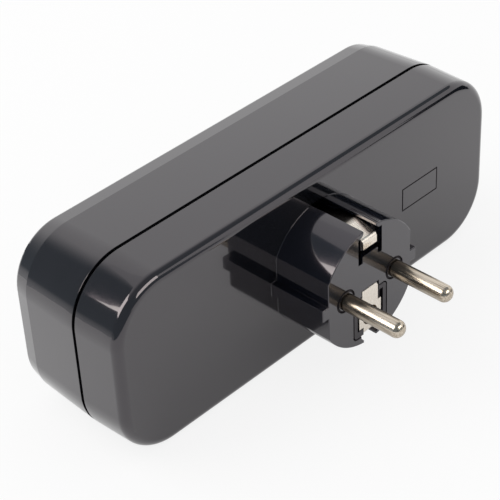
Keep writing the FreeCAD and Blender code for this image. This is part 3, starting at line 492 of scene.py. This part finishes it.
def makeSeamLine(seam):
    piece = joinedCopy("seamLine", seam["node"])
    piece.data.materials.clear()
    for edge in piece.data.edges:
        corners = [piece.data.vertices[i].co / mm for i in edge.vertices]
        edge.select = not all(abs(corner.y - seam["face"]) < dressing["nearby"] and
                              seam["mouth"] < abs(corner.x) < seam["within"] and
                              abs(corner.z) < seam["within"] for corner in corners)
    bpy.ops.object.mode_set(mode="EDIT")
    bpy.ops.mesh.select_mode(type="EDGE")
    bpy.ops.mesh.delete(type="EDGE")
    bpy.ops.object.mode_set(mode="OBJECT")
    bpy.ops.object.convert(target="CURVE")
    line = bpy.context.object
    line.data.bevel_depth = seam["radius"] * mm
    line.data.bevel_resolution = seam["steps"]
    line.data.use_fill_caps = True
    bpy.ops.object.convert(target="MESH")
    piece = bpy.context.object
    bpy.ops.object.shade_smooth_by_angle(angle=math.radians(seam["smoothTo"]))
    piece.data.materials.append(materials["plug"])
    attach(piece, "casing")
    return piece


makeSeamLine(seamLine)
print("seam line made")


# Plain studio: a white floor under the casing, a pale world and soft light. What follows below the
# lamp is seen only in reflections: a dim room, with its ceiling, and two soft boxes in it, as stand
# round a product table. Lengths are in metres, angles in degrees from +X towards +Y. A wall stands
# from low to high, or from the floor to the ceiling, and foot is how near to the object it reaches
# on the floor. A piece fades from its first colour to its second between two places along an axis.
studio = {
    "floorZ": -0.027, "floorSize": 6.0, "floorShade": 0.86, "floorSeen": 0.85,
    "floorMirrored": 0.3, "worldStrength": 0.8, "worldSeen": 1.0,
    "backLamp": {"place": (-0.55, 0.65, 0.9), "size": (0.9, 0.9), "power": 6.0},
    "room": {"radius": 1.4, "top": 1.95, "steps": 48, "ceilingSides": 96, "aboveFloor": 0.001},
    "walls": {
        "sideWall": {"from": 80, "to": 180, "foot": 0.24, "colours": ("#ffffff", "#808990"),
                     "axis": "X", "places": (0.2, -0.62)},
        "cameraWall": {"from": 180, "to": 262, "foot": 0.24, "colours": ("#808990", "#808990")},
        "frontWall": {"from": 262, "to": 303, "foot": 1.38, "colours": ("#80888e", "#80888e")},
        "canopy": {"from": 303, "to": 370, "low": 1.2, "colours": ("#858d92", "#858d92")},
        "farWall": {"from": 313, "to": 344, "foot": 0.26, "high": 0.3,
                    "colours": ("#2c3138", "#2c3138")},
    },
    "ceiling": {"colours": ("#8d9297", "#ececee"), "axis": "Y", "places": (-0.2, 0.9)},
    "softBoxReach": 1.2,
    "softBoxes": {
        "leftBox": {"azimuth": 157, "elevation": 39.5, "size": (0.605, 0.68), "strength": 5.2},
        "frontBox": {"azimuth": -81, "elevation": 38.5, "size": (0.83, 0.5), "strength": 4.2},
    },
    "softBoxColours": ("#fff9f3", "#fff9f3"),
}


# 1 where a ray of one of these kinds looks at the material
def seenBy(tree, kinds):
    path = addNode(tree, "ShaderNodeLightPath")
    seen = path.outputs[kinds[0]]
    for kind in kinds[1:]:
        seen = addNode(tree, "ShaderNodeMath", operation="MAXIMUM",
                       links={0: seen, 1: path.outputs[kind]}).outputs["Value"]
    return seen


def addWorld(settings):
    world = bpy.data.worlds.new("studioWorld")
    world.use_nodes = True
    scene.world = world
    tree = world.node_tree
    tree.nodes.clear()
    light = addNode(tree, "ShaderNodeBackground",
                    {"Color": (1, 1, 1, 1), "Strength": settings["worldStrength"]})
    white = addNode(tree, "ShaderNodeBackground",
                    {"Color": (1, 1, 1, 1), "Strength": settings["worldSeen"]})
    seen = seenBy(tree, ("Is Camera Ray", "Is Glossy Ray", "Is Transmission Ray"))
    mix = addNode(tree, "ShaderNodeMixShader",
                  links={0: seen, 1: light.outputs["Background"], 2: white.outputs["Background"]})
    addNode(tree, "ShaderNodeOutputWorld", links={"Surface": mix.outputs["Shader"]})


def addFloor(settings):
    deselectAll()
    bpy.ops.mesh.primitive_plane_add(size=settings["floorSize"],
                                     location=(0, 0, settings["floorZ"]))
    floor = bpy.context.object
    floor.name = "floor"
    material, tree = newMaterial("paleFloor")
    shade = settings["floorShade"]
    paint = addNode(tree, "ShaderNodeBsdfDiffuse", {"Color": (shade, shade, shade, 1)})
    glow = addNode(tree, "ShaderNodeEmission", {"Color": (1, 1, 1, 1), "Strength": 1.0})
    looked = addNode(tree, "ShaderNodeMath", {1: settings["floorSeen"]},
                     {0: seenBy(tree, ("Is Camera Ray", "Is Transmission Ray"))},
                     operation="MULTIPLY")
    mirrored = addNode(tree, "ShaderNodeMath", {1: settings["floorMirrored"]},
                       {0: seenBy(tree, ("Is Glossy Ray",))}, operation="MULTIPLY")
    part = addNode(tree, "ShaderNodeMath", operation="MAXIMUM",
                   links={0: looked.outputs["Value"], 1: mirrored.outputs["Value"]})
    mix = addNode(tree, "ShaderNodeMixShader",
                  links={0: part.outputs["Value"], 1: paint.outputs["BSDF"],
                         2: glow.outputs["Emission"]})
    finishMaterial(tree, mix.outputs["Shader"])
    floor.data.materials.append(material)


# only a reflection sees this piece of the studio
def onlyMirrored(piece, colours, strength=1.0, axis="X", places=(0.0, 1.0)):
    material, tree = newMaterial(piece.name)
    point = addNode(tree, "ShaderNodeTexCoord").outputs["Object"]
    along = addNode(tree, "ShaderNodeSeparateXYZ", links={"Vector": point}).outputs[axis]
    share = addNode(tree, "ShaderNodeMapRange", {"From Min": places[0], "From Max": places[1]},
                    {"Value": along}, interpolation_type="SMOOTHSTEP")
    colour = addNode(tree, "ShaderNodeMixRGB",
                     {"Color1": linearColour(colours[0]), "Color2": linearColour(colours[1])},
                     {"Fac": share.outputs["Result"]})
    glow = addNode(tree, "ShaderNodeEmission", {"Strength": strength},
                   {"Color": colour.outputs["Color"]})
    finishMaterial(tree, glow.outputs["Emission"])
    piece.data.materials.append(material)
    piece.visible_camera = False
    piece.visible_diffuse = False
    piece.visible_shadow = False
    piece.visible_transmission = False


# each wall is an upright, and mostly a foot on the floor too, spun round the object
def addWall(name, wall, room, floorZ):
    start = math.radians(wall["from"])
    sweep = math.radians(wall["from"] - wall["to"])
    profile = [(room["radius"], wall.get("low", floorZ)),
               (room["radius"], wall.get("high", room["top"]))]
    if "foot" in wall:
        profile.insert(0, (wall["foot"], floorZ))
    deselectAll()
    bpy.ops.mesh.primitive_plane_add(size=1, location=(0, 0, 0))
    piece = bpy.context.object
    piece.name = name
    piece.data.clear_geometry()
    points = [(reach * math.cos(start), reach * math.sin(start), z) for reach, z in profile]
    piece.data.from_pydata(points, [(i, i + 1) for i in range(len(points) - 1)], [])
    bpy.ops.object.mode_set(mode="EDIT")
    bpy.ops.mesh.select_all(action="SELECT")
    bpy.ops.mesh.spin(steps=room["steps"], angle=sweep, center=(0, 0, 0), axis=(0, 0, 1))
    bpy.ops.object.mode_set(mode="OBJECT")
    onlyMirrored(piece, wall["colours"], axis=wall.get("axis", "X"),
                 places=wall.get("places", (0.0, 1.0)))


def addRoom(settings):
    room = settings["room"]
    for name, wall in settings["walls"].items():
        addWall(name, wall, room, settings["floorZ"] + room["aboveFloor"])
    deselectAll()
    bpy.ops.mesh.primitive_circle_add(vertices=room["ceilingSides"], radius=room["radius"],
                                      fill_type="NGON", location=(0, 0, 0))
    ceiling = bpy.context.object
    ceiling.name = "ceiling"
    bpy.ops.transform.translate(value=(0, 0, room["top"]))
    bpy.ops.object.transform_apply(location=True)
    onlyMirrored(ceiling, **settings["ceiling"])


def addSoftBoxes(settings):
    for name, box in settings["softBoxes"].items():
        around, above = math.radians(box["azimuth"]), math.radians(box["elevation"])
        level = math.cos(above)
        way = Vector((math.cos(around) * level, math.sin(around) * level, math.sin(above)))
        deselectAll()
        bpy.ops.mesh.primitive_plane_add(size=1, location=settings["softBoxReach"] * way,
                                         rotation=way.to_track_quat("Z", "Y").to_euler())
        piece = bpy.context.object
        piece.name = name
        piece.scale = box["size"] + (1.0,)
        bpy.ops.object.transform_apply(location=True, rotation=True, scale=True)
        onlyMirrored(piece, settings["softBoxColours"], box["strength"])


def addBackLamp(settings):
    lamp = settings["backLamp"]
    place = Vector(lamp["place"])
    bpy.ops.object.light_add(type="AREA", location=place,
                             rotation=place.to_track_quat("Z", "Y").to_euler())
    source = bpy.context.object
    source.name = "backLamp"
    source.data.shape = "RECTANGLE"
    source.data.size, source.data.size_y = lamp["size"]
    source.data.energy = lamp["power"]
    source.visible_glossy = False


addWorld(studio)
addFloor(studio)
addRoom(studio)
addSoftBoxes(studio)
addBackLamp(studio)
print("studio built")
